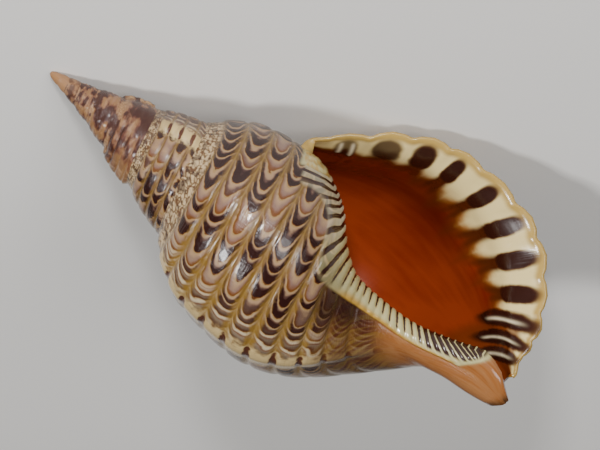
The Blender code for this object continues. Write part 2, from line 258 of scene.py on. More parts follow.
def curveThrough(values, places, x):
    # a smooth curve through values at places, read at x, a number or an array
    values = np.asarray(values, float)
    places = np.asarray(places, float)
    x = np.asarray(x, float)
    last = len(places) - 1
    i = np.clip(np.searchsorted(places, x, side="left") - 1, 0, last - 1)
    after = np.minimum(np.arange(last + 1) + 1, last)
    before = np.maximum(np.arange(last + 1) - 1, 0)
    gap = places[after] - places[before]
    slope = (values[after] - values[before]) / gap.reshape((-1,) + (1,) * (values.ndim - 1))
    width = places[i + 1] - places[i]
    u = np.clip((x - places[i]) / width, 0.0, 1.0)
    if values.ndim > 1:
        u = u[..., None]
        width = width[..., None]
    climb = values[i + 1] - values[i]
    start = slope[i] * width
    end = slope[i + 1] * width
    last = start + end - 2 * climb
    return values[i] + u * (start + u * (3 * climb - 2 * start - end + u * last))


def suture(turn):
    along = coil["sutureAlong"] * coil["growth"] ** (turn + 2)
    along *= 1 + coil["lipDrop"] * smooth(turn + 1)
    share = (along / coil["lipSutureAlong"]) ** coil["suturePower"]
    return along, coil["tipRadius"] + (coil["sutureRadius"] - coil["tipRadius"]) * share


def growthAt(turn):
    return suture(turn)[0] / coil["lipSutureAlong"]


def earlySection(turn):
    # a section before the last turn: its seen band, then the part that the next whorl covers
    upper = suture(turn)
    lower = suture(turn + 2)
    run = lower[0] - upper[0]
    climb = lower[1] - upper[1]
    bulge = coil["spireBulge"] + (coil["bodyBulge"] - coil["spireBulge"]) * smooth(turn + 3)
    shrinkAlong = lower[0] / coil["lipSutureAlong"]
    shrinkRadius = lower[1] / coil["sutureRadius"]
    back = smooth((-2 - turn) / 0.3)
    points = []
    for rib, (along, radius) in zip(ribs, sections[-2.0]):
        if rib <= coil["seenRibs"]:
            share = (rib / coil["seenRibs"]) ** 1.15
            out = bulge * math.sin(math.pi * share)
            x = upper[0] + share * run - out * climb
            points.append((x, upper[1] + share * climb + out * run, 0.0))
            continue
        least = coil["beakRadius"] + 2 * back if rib > 12 else coil["columnRadius"]
        points.append((along * shrinkAlong, max(radius * shrinkRadius, least), 0.0))
    return points


sectionKnots = [-3.5 + 0.5 * k for k in range(8)]


def knotRows():
    rows = []
    for knot in sectionKnots:
        if knot < -2:
            rows.append(earlySection(knot))
            continue
        extra = [0.0] * (len(ribs) - 4) + list(beakTurn.get(knot, (0.0,) * 4))
        rows.append([(*place, more) for place, more in zip(sections[knot], extra)])
    return np.array(rows)


knotTable = knotRows()


def sectionAt(turn):
    # (along, radius, extra turn) at every rib of the list, without relief
    if turn < -3:
        return np.array(earlySection(turn))
    made = curveThrough(knotTable, sectionKnots, turn)
    cut = coil["beakCornerCut"] * peak((turn - coil["beakCornerAt"]) / coil["beakCornerWidth"])
    rib = np.array(ribs)
    made[:, 0] -= cut * smooth((rib - 12.3) / 0.7)
    seen = coil["seenRibs"]
    upper = np.array(suture(turn))
    near = np.clip(1 - rib / seen, 0, 1)[:, None]
    first = made[0, :2].copy()
    seenPoint = made[ribs.index(seen), :2].copy()
    made[:, :2] += near * (upper - first)
    if turn < -2:
        far = np.where(rib <= seen, rib / seen, 0)[:, None]
        made[:, :2] += far * (np.array(suture(turn + 2)) - seenPoint)
    return made


# what a point says where nothing else is given
bareWall = {"relief": 0.0, "coat": 0.0, "margin": -1.0, "inside": 0.0, "fold": 0.0}


class Sheet:
    # the wall unrolled: each point is (along, radius, turn wound to), and knows which way is out
    def __init__(self):
        self.points = []
        names = ("turn", "rib", "out", "relief", "coat", "margin", "inside", "fold", "size")
        self.values = {name: [] for name in names}
        self.faces = []
        self.corners = []

    def addPoints(self, flat, **values):
        values = {**bareWall, "size": growthAt(values["turn"]), **values}
        first = len(self.points)
        self.points.extend(map(tuple, flat))
        for name, store in self.values.items():
            given = values[name]
            alike = np.ndim(given) == 0 or isinstance(given, tuple)
            store.extend([given] * len(flat) if alike else given)
        return list(range(first, len(self.points)))

    def face(self, a, b, c):
        # a, b and c are (parameter, vertex, turn, rib)
        if a[1] == b[1] or b[1] == c[1] or a[1] == c[1]:
            return
        self.faces.append((a[1], b[1], c[1]))
        places = [a[2:], b[2:], c[2:]]
        newest = max(places)
        if newest[0] - min(places)[0] > 1:
            places = [newest] * 3  # a face that joins two whorls takes the newer one's place
        self.corners.extend(places)

    def stitch(self, left, right):
        # triangles between two rows, which may differ in count
        i = 0
        j = 0
        while i < len(left) - 1 or j < len(right) - 1:
            stepLeft = j == len(right) - 1
            if i < len(left) - 1 and not stepLeft:
                stepLeft = left[i][0] + left[i + 1][0] <= right[j][0] + right[j + 1][0]
            if stepLeft:
                self.face(left[i], right[j], left[i + 1])
                i += 1
            else:
                self.face(left[i], right[j], right[j + 1])
                j += 1


def outlineAt(turn, rib):
    # flat points at the ribs given, and the outward direction in (along, radius)
    rows = sectionAt(turn)
    rib = np.asarray(rib, float)
    nudge = 0.02
    here = curveThrough(rows, ribs, rib)
    before = curveThrough(rows, ribs, np.maximum(rib - nudge, 0))
    after = curveThrough(rows, ribs, np.minimum(rib + nudge, coil["canalEnd"]))
    run, climb = (after - before)[:, :2].T
    size = np.hypot(run, climb)
    out = np.stack([-climb / size, run / size], axis=1)
    flat = here.copy()
    flat[:, 2] += turn
    return flat, out


def pushed(flat, out, amount):
    moved = flat.copy()
    moved[:, :2] += out * np.reshape(amount, (-1, 1))
    return moved


def lipFlareAt(turn, rib):
    if turn < coil["flareFrom"]:
        return np.zeros(len(rib))
    flare = curveThrough(lipFlare, ribs, rib)
    nearEdge = max(0.0, 1 + turn / coil["flareLength"]) ** 2
    varix = peak((turn - coil["lipVarixAt"]) / coil["lipVarixWidth"])
    return flare * (nearEdge + coil["lipVarixShare"] * varix)


def coatAt(turn, rib):
    # 1 where the mouth's inner side is coated, else 0, and how far within the coat's margin
    first, last = coil["coatTurns"]
    if turn < first or turn > last:
        return np.zeros(len(rib)), np.full(len(rib), -1.0)
    along = outlineAt(turn, rib)[0][:, 0]
    edge = curveThrough(coatEdge[1], coatEdge[0], along)
    coated = smooth((edge - turn) / 0.06) * smooth((rib - coil["seenRibs"]) / 0.5)
    return np.where(rib < coil["seenRibs"], 0.0, coated), edge - turn


def foldAt(flat, turn):
    # which fold of the inner lip a point is on: the fold is followed back to the lip's edge
    first, last = coil["foldTurns"]
    if turn < first or turn > last:
        return np.zeros(len(flat))
    along = flat[:, 0]
    sideways = wound(flat)[:, 0]
    inwards = np.maximum(np.interp(along, *innerLip) - sideways, 0)
    atLip = along.copy()
    for _ in range(coil["foldSteps"]):
        atLip = (atLip + along + np.interp(atLip, *foldSlant) * inwards) / 2
    return np.interp(atLip, *foldCounts)


def ribRows(first, last, parts):
    return [rib + part for rib in range(first, last) for part in parts]


ribParts = (0.035, 0.075, 0.13, 0.2, 0.32, 0.5, 0.68, 0.8, 0.87, 0.925, 0.965, 1.0)
bandRows = [0, 0.06, 0.13, 0.2, 0.28, 0.36, 0.45, 0.54, 0.63, 0.72, 0.81, 0.88, 0.94, 1.0]


def evenRows(first, last, step):
    # ribs that are step millimetres apart along the inner lip
    places = np.linspace(first, last, 800)
    flat = outlineAt(-2, places)[0]
    lengths = np.concatenate([[0], np.cumsum(np.hypot(*np.diff(flat[:, :2], axis=0).T))])
    count = int(lengths[-1] / step)
    return np.interp(np.linspace(0, lengths[-1], count + 1), lengths, places)


foldRows = evenRows(coil["seenRibs"], coil["foldsTo"], 0.85)[1:]
smallWhorls = ((-11, 5), (-8, 10), (-5.5, 19))  # up to which turn, how many rows


def rowsAt(turn):
    seen = coil["seenRibs"]
    for until, count in smallWhorls:
        if turn < until:
            return np.linspace(0, seen, count)
    upper = bandRows + ribRows(1, 4, ribParts) + [4.035, 4.075, 4.13, 4.2, 4.32, seen]
    if turn < -2:
        return np.array(upper)
    if turn > coil["callusEdge"] + 0.02:
        lower = [4.68, 4.8, 4.87, 4.925, 4.965, 5.0] + ribRows(5, 11, ribParts)
        canal = list(np.linspace(11.5, coil["canalEnd"], 14)[1:])
        return np.array(upper + lower + [11.15, 11.3, 11.5] + canal)
    return np.array(upper + list(foldRows) + [12.8, 12.9, coil["canalEnd"]])


def buildOutside(sheet):
    # the outside's columns, lists of (rib, vertex, turn, rib), each welded to the whorl above
    columns = []
    steps = coil["steps"]
    for i in range(-coil["firstTurn"] * steps + 1):
        turn = coil["firstTurn"] + i / steps
        rows = rowsAt(turn)
        welded = i >= 2 * steps
        free = rows[1:] if welded else rows
        flat, out = outlineAt(turn, free)
        coat, margin = coatAt(turn, free)
        end = free + coil["beakSlant"] * (turn + 2)
        coated = coat * coil["callus"] * smooth((coil["foldsTo"] + 0.1 - end) / 0.25)
        flat = pushed(flat, out, lipFlareAt(turn, free) + coated)
        vertices = sheet.addPoints(
            flat, turn=turn, rib=free, out=[(a, b, 0) for a, b in out],
            relief=reliefShare(turn, free), coat=coat, margin=margin, fold=foldAt(flat, turn),
        )
        if welded:
            above = columns[i - 2 * steps]
            lowest = bisect.bisect([row[0] for row in above], coil["seenRibs"]) - 1
            vertices = [above[lowest][1]] + vertices
        columns.append([(rib, vertex, turn, rib) for rib, vertex in zip(rows, vertices)])
    for left, right in zip(columns, columns[1:]):
        sheet.stitch(left, [row for row in right if row[0] <= left[-1][0]])
    closeTip(sheet, columns)
    return columns


def closeTip(sheet, columns):
    # a small dome over the first whorl
    turn = coil["firstTurn"]
    atTip = {"turn": turn, "rib": 0.0, "out": (-1, 0, 0)}
    ring = [columns[i][0] for i in range(2 * coil["steps"] + 1)] + list(reversed(columns[0]))[1:]
    rings = [[(k,) + entry[1:] for k, entry in enumerate(ring)]]
    base = np.array([sheet.points[entry[1]] for entry in ring[:-1]])
    for share in coil["tipRings"]:
        flat = base.copy()
        flat[:, 0] = coil["tipAlong"] + (base[:, 0] - coil["tipAlong"]) * share
        flat[:, 1] *= share ** coil["tipRoundness"]
        vertices = sheet.addPoints(flat, **atTip)
        closed = vertices + vertices[:1]
        rings.append([(k, vertex, turn, 0.0) for k, vertex in enumerate(closed)])
    for low, high in zip(rings, rings[1:]):
        sheet.stitch(low, high)
    tip = sheet.addPoints([(coil["tipAlong"], 0.0, 0.0)], **atTip)[0]
    for a, b in zip(rings[-1], rings[-1][1:]):
        sheet.face((0, tip) + a[2:], b, a)


def reliefShare(turn, rib):
    # how much of the ribs and varices shows: none where the next whorl covers the wall
    if turn <= -2:
        seen = smooth((coil["seenRibs"] - rib) / 0.35)
        return np.where(rib <= coil["seenRibs"], seen, 1 - smooth((-2 - turn) / 0.2))
    if turn < -1.9:
        near = smooth((turn + 2) / 0.1)
        return 1 - (1 - near) * (1 - smooth(np.abs(rib - coil["seenRibs"]) / 0.35))
    return np.ones(len(rib))


# the hollow behind the mouth
def wallAt(turn, rib):
    # thin at the lip's edge, thickest in the lip's varix, then even
    even = hollow["wall"] * growthAt(turn) ** 0.5
    swell = (hollow["lipBody"] - hollow["wall"]) * smooth(rib / 3) * (1 - smooth((rib - 8.5) / 3))
    if turn > -hollow["swellFrom"]:
        share = math.sin(-turn / hollow["swellFrom"] * math.pi / 2)
        return hollow["lipEdge"] + (even - hollow["lipEdge"] + swell) * share
    return even + swell * (1 - smooth((-turn - hollow["swellFrom"]) / hollow["swellLength"]))


def shiftAt(along):
    lean = (along - coil["shiftFrom"]) / (coil["shiftTo"] - coil["shiftFrom"])
    return coil["canalShift"] * smooth(lean)


def wound(flat, leanShare=1.0):
    # flat points as places in space: x to the mouth's side, y out of the mouth, z down the axis
    angle = math.pi * flat[:, 2]
    x = shiftAt(flat[:, 0]) * leanShare + flat[:, 1] * np.cos(angle)
    return np.stack([x, flat[:, 1] * np.sin(angle), flat[:, 0]], axis=1)


def unwound(space):
    x = space[:, 0] - shiftAt(space[:, 2])
    y = space[:, 1]
    return np.stack([space[:, 2], np.hypot(x, y), np.arctan2(y, x) / math.pi], axis=1)


def liningSpace(turn, rib):
    # the hollow's inner wall: the turn before, and at the canal in behind the beak's free edge
    lead = hollow["liningLead"] * smooth((rib - hollow["cornerRib"]) / 2)
    deep = np.empty((len(rib), 3))
    for k, (one, ahead) in enumerate(zip(rib, lead)):
        flat, out = outlineAt(turn - 2 - ahead, [one])
        flat[:, 2] = turn - 2 - ahead
        deep[k] = wound(pushed(flat, out, coil["callus"]), hollow["liningLean"])[0]
    flat, out = outlineAt(-2, rib)
    coat = coatAt(-2, rib)[0] * smooth((coil["foldsTo"] + 0.1 - rib) / 0.3)
    edge = wound(pushed(flat, out, coat * coil["callus"]))
    behind = np.where(rib < 11.5, 1.0, smooth(-turn / 0.25))[:, None]
    return edge + (deep - edge) * behind


def channelSpace(share):
    # from the wall's end round below the beak, in shortening steps
    angle = np.radians(hollow["channelFrom"] - hollow["channelOver"] * (1 - (1 - share) ** 2.6))
    x = hollow["channelCentre"][0] + hollow["channelRadius"] * np.cos(angle)
    y = hollow["channelCentre"][1] + hollow["channelRadius"] * np.sin(angle)
    z = hollow["channelAlong"] + hollow["channelRise"] * smooth(2 * share - 1)
    return np.stack([x, y, z], axis=1)


def hollowRing(sheet, turn, mouthColumn):
    # one section of the hollow: upper corner, outer wall, floor, then up the inner wall
    low = hollow["firstInnerRib"]
    high = float(curveThrough(*hollow["wallEnds"], turn))
    rows = rowsAt(0)
    fine = turn > -0.25
    wallRibs = rows[rows >= low] if fine else np.linspace(low, high, hollow["wallRows"])
    if fine and turn != 0:
        wallRibs = low + (high - low) * (wallRibs - low) / (rows[-1] - low)
    flat, out = outlineAt(turn, wallRibs)
    flat = pushed(flat, out, lipFlareAt(turn, wallRibs) - wallAt(turn, wallRibs))
    vertices = sheet.addPoints(
        flat, turn=turn, rib=wallRibs, out=[(a, b, 0) for a, b in out],
        relief=max(0.0, 1 + turn / 0.03), inside=1.0,
    )
    wall = []
    for rib, vertex in zip(wallRibs, vertices):
        wall.append(((rib - low) / (high - low), vertex, turn, rib))
    spread = coil["canalEnd"] - hollow["cornerRib"]
    if turn == 0:
        inner = [row[:2] for row in mouthColumn if row[0] >= hollow["cornerRib"]]
    else:
        rows = rowsAt(-2)
        rows = rows[rows >= hollow["cornerRib"]]
        every = 1 if turn > -0.06 else 3 if fine else 9
        rows = np.concatenate([rows[:-5:every], rows[-5::2]])
        lift = 0.1 * smooth(-turn / 0.8)
        deeper = rows - lift * (rows - hollow["cornerRib"]) / spread
        vertices = sheet.addPoints(
            unwound(liningSpace(turn, deeper)), turn=turn, rib=rows, out=(0, 1, 0),
            margin=0.3, inside=2.0, fold=foldAt(outlineAt(-2, rows)[0], -2),
        )
        inner = list(zip(rows, vertices))
    lining = []
    for rib, vertex in reversed(inner):
        lining.append(((coil["canalEnd"] - rib) / spread, vertex, turn - 2, rib))
    start, end = wound(np.array([sheet.points[wall[-1][1]], sheet.points[lining[0][1]]]))
    share = np.arange(1, hollow["channelSteps"])[:, None] / hollow["channelSteps"]
    weight = smooth(1 + turn / 0.3)
    straight = start + (end - start) * share
    bed = straight + (channelSpace(share[:, 0]) - straight) * weight
    vertices = sheet.addPoints(
        unwound(bed), turn=turn, rib=coil["canalEnd"], out=(0, -1, 0), inside=1.0
    )
    floor = [(0.0,) + wall[-1][1:]]
    for part, vertex in zip(share[:, 0], vertices):
        floor.append((float(part), vertex, turn, coil["canalEnd"]))
    floor.append((1.0,) + lining[0][1:])
    wall = [(-0.05,) + lining[-1][1:]] + wall
    return wall, floor, lining


def buildHollow(sheet, columns):
    turns = list(hollow["fineTurns"])
    while turns[-1] > hollow["end"] + 0.01:
        turns.append(max(round(turns[-1] - hollow["step"], 3), hollow["end"]))
    steps = coil["steps"]
    mouthColumn = columns[(-2 - coil["firstTurn"]) * steps]
    rings = [hollowRing(sheet, turn, mouthColumn) for turn in turns]
    for near, far in zip(rings, rings[1:]):
        for part in range(3):
            sheet.stitch(near[part], far[part])
    wall, floor, lining = rings[-1]
    back = [(0.8 * (1 - row[0]),) + row[1:] for row in reversed(lining)]
    back += [(1 - 0.2 * row[0],) + row[1:] for row in reversed(floor[1:-1])]
    sheet.stitch(wall, back)
    low = hollow["firstInnerRib"]
    corner = [row for row in mouthColumn if coil["seenRibs"] <= row[0] < hollow["cornerRib"]]
    rim = [(row[0] - hollow["cornerRib"],) + row[1:] for row in corner]
    for row in rings[0][0]:
        rim.append((0.0 if row[0] < 0 else low + (coil["canalEnd"] - low) * row[0],) + row[1:])
    sheet.stitch(columns[-1], rim)
    endEdge = [(i / steps,) + columns[-1 - i][-1][1:] for i in range(2 * steps + 1)]
    canalEdge = [(2 * row[0],) + row[1:] for row in rings[0][1]]
    sheet.stitch(endEdge, canalEdge)


def flatSheet():
    # the unrolled wall as a mesh, with what the nodes need to know of each point
    sheet = Sheet()
    columns = buildOutside(sheet)
    buildHollow(sheet, columns)
    mesh = bpy.data.meshes.new("unrolledWall")
    mesh.from_pydata(sheet.points, [], sheet.faces)
    for name, values in sheet.values.items():
        kind = "FLOAT_VECTOR" if name == "out" else "FLOAT"
        field = "vector" if name == "out" else "value"
        store = mesh.attributes.new(name, kind, "POINT")
        store.data.foreach_set(field, np.array(values, np.float32).ravel())
    places = mesh.uv_layers.new(name="coil")
    places.data.foreach_set("uv", np.array(sheet.corners, np.float32).ravel())
    print("unrolled wall:", len(sheet.points), "points,", len(sheet.faces), "triangles")
    return mesh


# the relief and the winding, as geometry nodes
relief = {
    "Rib Depth": 1.3,
    "Rib Crown": 0.5,
    "Last Rib": 11.5,
    "Cord Height": 0.3,
    "Varix Height": 3.2,
    "Varix Width": 0.075,
    "Scallop": 1.0,
    "Fold Height": 0.6,
    "Tooth Height": 1.1,
    "Bead Height": 0.35,
    "Beads": 48.0,  # in each half turn
    "Canal Lean": coil["canalShift"],
    "Lean From": float(coil["shiftFrom"]),
    "Lean To": float(coil["shiftTo"]),
}
varices = (-1.13, -2.42, -3.7, -5.0, -6.05)  # old lips, in half turns


def named(name, kind="FLOAT"):
    return fed("GeometryNodeInputNamedAttribute", {"Name": name}, data_type=kind)["Attribute"]


def ribHeight(size, rib):
    # grooves between rounded ribs, with a thin cord along each groove
    part = calc("FRACT", rib)
    side = calc("MINIMUM", part, inverse(part))
    groove = times(inverse(rise(side, 0, 0.2)), size["Rib Depth"], -1)
    crown = times(calc("SINE", times(part, math.pi)), size["Rib Crown"])
    cord = times(hump(side, 0, 0.06), size["Cord Height"])
    body = times(add(groove, crown, cord), rise(minus(size["Last Rib"], rib), -0.5, 2))
    band = times(rise(rib, 0, 1), size["Rib Depth"], -1)
    below = calc("LESS_THAN", rib, 1)
    return add(times(band, below), times(body, inverse(below)))


def beadHeight(size, turn, rib):
    # two rows of small beads just below the suture
    beads = calc("SINE", times(turn, size["Beads"], 2 * math.pi))
    rows = add(hump(rib, 0.28, 0.1), hump(rib, 0.68, 0.12))
    return times(add(times(beads, 0.5), 0.5), rows, size["Bead Height"])


def varixHeight(size, turn, rib, growth):
    total = 0.0
    for at in varices:
        away = over(minus(turn, at), size["Varix Width"])
        steep = add(times(calc("GREATER_THAN", away, 0), 0.8), 0.8)
        reach = times(away, steep)
        total = add(total, calc("EXPONENT", times(reach, reach, -1)))
    ends = times(rise(rib, 0, 0.7), rise(minus(size["Last Rib"], rib), 0, 2))
    return times(total, ends, calc("POWER", growth, 0.35), size["Varix Height"])


def scallopHeight(size, turn, rib):
    # the lip's edge has a corner at the middle of each rib
    near = calc("MAXIMUM", add(over(turn, coil["flareLength"]), 1), 0)
    middle = calc("ABSOLUTE", minus(calc("FRACT", rib), 0.5))
    corner = minus(1, times(middle, 2))
    ends = times(calc("GREATER_THAN", rib, 1), rise(minus(size["Last Rib"], rib), 0, 1.5))
    shape = minus(times(corner, corner), 0.3)
    return times(shape, near, near, ends, size["Scallop"])


def foldHeight(size, fold):
    wave = calc("COSINE", times(fold, 2 * math.pi))
    ridge = calc("POWER", minus(0.5, times(wave, 0.5)), 0.7)
    return times(ridge, size["Fold Height"])


def toothHeight(size, turn, rib):
    # on the lip's inner side: a pair of teeth on the first rib, low swellings, then sharp ridges
    part = calc("FRACT", rib)
    pair = add(hump(part, 0.36, 0.07), hump(part, 0.64, 0.07))
    pair = times(pair, rise(rib, 2.2, 1.9))
    swell = times(hump(part, 0.5, 0.2), rise(rib, 1.9, 2.2), rise(rib, 9.1, 8.9), 0.5)
    ridge = times(hump(part, 0.5, 0.12), rise(rib, 8.9, 9.1))
    nearEdge = add(turn, times(rise(rib, 8.9, 9.1), 0.06))
    depth = times(rise(turn, -0.012, -0.04), rise(nearEdge, -0.2, -0.11))
    ends = times(rise(rib, 1, 1.4), rise(rib, 12.1, 11.9))
    return times(add(pair, swell, ridge), depth, ends, size["Tooth Height"], -1)


def reliefTree():
    tree = bpy.data.node_groups.new("coiledShell", "GeometryNodeTree")
    tree.is_modifier = True
    openTrees.append(tree)
    face = tree.interface
    face.new_socket("Geometry", in_out="INPUT", socket_type="NodeSocketGeometry")
    for name, value in relief.items():
        socket = face.new_socket(name, in_out="INPUT", socket_type="NodeSocketFloat")
        socket.default_value = value
    face.new_socket("Shell", in_out="INPUT", socket_type="NodeSocketMaterial")
    face.new_socket("Geometry", in_out="OUTPUT", socket_type="NodeSocketGeometry")
    size = addNode("NodeGroupInput").outputs
    turn, rib, growth = named("turn"), named("rib"), named("size")
    coat, inside, fold, share = named("coat"), named("inside"), named("fold"), named("relief")
    outside = calc("LESS_THAN", inside, 0.5)
    inWall = times(calc("GREATER_THAN", inside, 0.5), calc("LESS_THAN", inside, 1.5))

    bare = times(inverse(coat), share)
    ribbed = times(ribHeight(size, rib), growth)
    beaded = times(beadHeight(size, turn, rib), growth, outside)
    varix = varixHeight(size, turn, rib, growth)
    height = times(add(ribbed, beaded, varix), bare)
    beakFrom = add(rib, times(add(turn, 2), coil["beakSlant"]))
    foldsEnd = rise(beakFrom, coil["foldsTo"], coil["foldsTo"] - 0.15)
    folds = times(foldHeight(size, fold), coat, foldsEnd)
    scallop = times(scallopHeight(size, turn, rib), share)
    teeth = times(toothHeight(size, turn, rib), inWall)
    height = add(height, folds, scallop, teeth)

    # the flat wall is raised, then wound round the axis
    way = {0: named("out", "FLOAT_VECTOR"), "Scale": height}
    move = fed("ShaderNodeVectorMath", way, operation="SCALE")[0]
    wall = fed("GeometryNodeSetPosition", {"Geometry": size["Geometry"], "Offset": move})
    flat = fed("ShaderNodeSeparateXYZ", {0: addNode("GeometryNodeInputPosition").outputs[0]})
    along, radius, angle = flat[0], flat[1], times(flat[2], math.pi)
    ends = {"From Min": size["Lean From"], "From Max": size["Lean To"], "To Max": size["Canal Lean"]}
    ends["Value"] = along
    lean = fed("ShaderNodeMapRange", ends, interpolation_type="SMOOTHSTEP")["Result"]
    x = add(lean, times(radius, calc("COSINE", angle)))
    coiled = joined(x, times(radius, calc("SINE", angle)), along)
    wall = fed("GeometryNodeSetPosition", {"Geometry": wall[0], "Position": coiled})
    wall = fed("GeometryNodeRealizeInstances", {"Geometry": wall[0]})
    wall = fed("GeometryNodeSetMaterial", {"Geometry": wall[0], "Material": size["Shell"]})
    fed("NodeGroupOutput", {"Geometry": wall[0]})
    return tree


def lyingTurn():
    # how the coil's axes are turned when the shell lies down
    table = Matrix(((0, 0, -1), (-1, 0, 0), (0, 1, 0))).to_4x4()
    return Matrix.Rotation(pose["canalUp"], 4, "Y") @ Matrix.Rotation(pose["roll"], 4, "X") @ table


def shellPiece(material):
    blank = placed("unrolledWall", flatSheet())
    tree = reliefTree()
    modifier = blank.modifiers.new("coiledShell", "NODES")
    modifier.node_group = tree
    for item in tree.interface.items_tree:
        if item.in_out == "INPUT" and item.name in relief:
            modifier[item.identifier] = relief[item.name]
        if item.name == "Shell":
            modifier[item.identifier] = material
    graph = bpy.context.evaluated_depsgraph_get()
    evaluated = blank.evaluated_get(graph)
    mesh = bpy.data.meshes.new_from_object(
        evaluated, preserve_all_data_layers=True, depsgraph=graph
    )
    blank.modifiers.clear()
    bpy.data.objects.remove(blank)
    # from the coil's own millimetres to metres in the frame
    mesh.transform(Matrix.Scale(0.001, 4) @ Matrix.Translation(pose["coilCentre"]) @ lyingTurn())
    mesh.name = "coiledShell"
    mesh.shade_smooth()
    piece = placed("coiledShell", mesh)
    print("coiled shell:", len(mesh.polygons), "faces")
    return piece


# finishes: every pattern is read from (turn, rib), kept in the piece's own map "coil"
def blend(factor, first, second):
    # the ends are sockets, or names of colours in look
    node = addNode("ShaderNodeMix", data_type="RGBA")
    plug(factor, node.inputs["Factor"])
    ends = [socket for socket in node.inputs if socket.type == "RGBA"]
    for value, socket in zip((first, second), ends):
        plug((*look[value], 1) if isinstance(value, str) else value, socket)
    return [socket for socket in node.outputs if socket.type == "RGBA"][0]


def paint(ground, colour, *shares):
    # colour over ground, as far as the product of the shares says
    return blend(times(*shares), ground, colour)


def noise(x, y, cellsX, cellsY, detail=2.0, seed=0.0):
    # soft noise between 0 and 1, with so many cells for each unit of x and y
    place = joined(times(x, cellsX), times(y, cellsY), seed)
    node = fed("ShaderNodeTexNoise", {"Vector": place, "Scale": 1, "Detail": detail})
    return rise(node["Fac"], 0.25, 0.75)


def lot(x, y, seed=0.0):
    # one random number for each whole x and y
    place = joined(x, y, seed)
    return fed("ShaderNodeTexWhiteNoise", {"Vector": place}, noise_dimensions="3D")["Value"]


def attribute(name):
    return addNode("ShaderNodeAttribute", attribute_name=name).outputs["Fac"]


look = {
    "cream": (0.31, 0.19, 0.1),
    "lilac": (0.19, 0.108, 0.082),
    "white": (0.56, 0.46, 0.3),
    "bandCream": (0.5, 0.36, 0.2),
    "varix": (0.58, 0.42, 0.19),
    "grey": (0.06, 0.027, 0.021),
    "ochre": (0.13, 0.067, 0.013),
    "paleOchre": (0.25, 0.15, 0.036),
    "gold": (0.22, 0.12, 0.02),
    "orangeBrown": (0.13, 0.04, 0.005),
    "redBrown": (0.1, 0.02, 0.005),
    "maroon": (0.02, 0.004, 0.0025),
    "brown": (0.075, 0.02, 0.007),
    "spireTan": (0.31, 0.155, 0.066),
    "spirePink": (0.17, 0.062, 0.036),
    "rust": (0.035, 0.007, 0.0045),
    "foldPale": (0.43, 0.38, 0.18),
    "foldWhite": (0.5, 0.44, 0.29),
    "margin": (0.4, 0.23, 0.04),
    "beakTan": (0.24, 0.078, 0.015),
    "beakPale": (0.3, 0.135, 0.05),
    "lipCream": (0.72, 0.56, 0.25),
    "rimYellow": (0.42, 0.27, 0.07),
    "bar": (0.026, 0.006, 0.003),
    "lipTan": (0.3, 0.13, 0.03),
    "lipBrown": (0.13, 0.026, 0.004),
    "tail": (0.06, 0.013, 0.003),
    "amber": (0.26, 0.034, 0.007),
    "deepAmber": (0.13, 0.007, 0.0007),
    "tooth": (0.62, 0.52, 0.34),
    # where one pattern gives way to the next: from, to
    "goldenTurns": (-1.55, -1.1),  # the grooves turn golden towards the lip
    "shortTurns": (-2.4, -3.4),  # the crescents flatten towards the spire
    "spireTurns": (-3.3, -5.5),
    "rustTurns": (-3.3, -4.5),
    "tipTurns": (-11, -13),
    "bandRibs": (1.25, 0.8),
    "lowRibs": (7.8, 9.6),  # the whorl's lower end darkens
    "beakRibs": (10.6, 11.6),
    "darkShare": (0.36, 0.47),  # a crescent whose chance is higher is dark
    "rustShare": (0.44, 0.68),
    "canalFolds": (21, 24),
    "beakEdge": (12.62, 12.68),
    "crescents": 88.0,  # how many there would be along a rib of an endless coil
    "beadSpread": 0.55,
    "crescentReach": 1.5,  # how many crescents an arm runs back past
    "lipReach": 0.05,  # how far the cream reaches in, in half turns
    "lipWidest": 0.1,  # how much further it reaches at the lip's middle
    "Roughness": 0.22,
    "Specular IOR Level": 0.35,
    "Coat Weight": 0.28,
    "Coat Roughness": 0.06,
    "bumpStrength": 0.3,
    "bumpDistance": 0.0004,
}
lipBars = {  # for each rib on the inner lip: width, reach inwards, darkness, white ridges
    1: (0.5, 0.9, 0.6, 1.0),
    2: (0.7, 0.6, 0.7, 0.0),
    3: (0.62, 0.55, 0.95, 0.0),
    4: (0.42, 0.42, 1.0, 0.0),
    5: (0.4, 0.4, 1.0, 0.0),
    6: (0.48, 0.44, 1.0, 0.0),
    7: (0.5, 0.48, 1.0, 0.0),
    8: (0.54, 0.6, 1.0, 0.0),
    9: (0.76, 2.1, 1.0, 1.0),
    10: (0.84, 3.3, 1.0, 1.0),
    11: (0.8, 4.2, 0.9, 0.9),
}


def barTable(rib):
    # the numbers of lipBars for the rib that a point lies on
    node = addNode("ShaderNodeValToRGB")
    ramp = node.color_ramp
    ramp.interpolation = "CONSTANT"
    ramp.elements[0].color = (0, 0, 0, 0)
    ramp.elements[1].color = (0, 0, 0, 0)
    for which, numbers in lipBars.items():
        ramp.elements.new(which / coil["canalEnd"]).color = numbers
    ramp.elements.new(12 / coil["canalEnd"]).color = (0, 0, 0, 0)
    plug(over(rib, coil["canalEnd"]), node.inputs["Fac"])
    parts = fed("ShaderNodeSeparateColor", {0: node.outputs["Color"]})
    return parts[0], parts[1], parts[2], node.outputs["Alpha"]


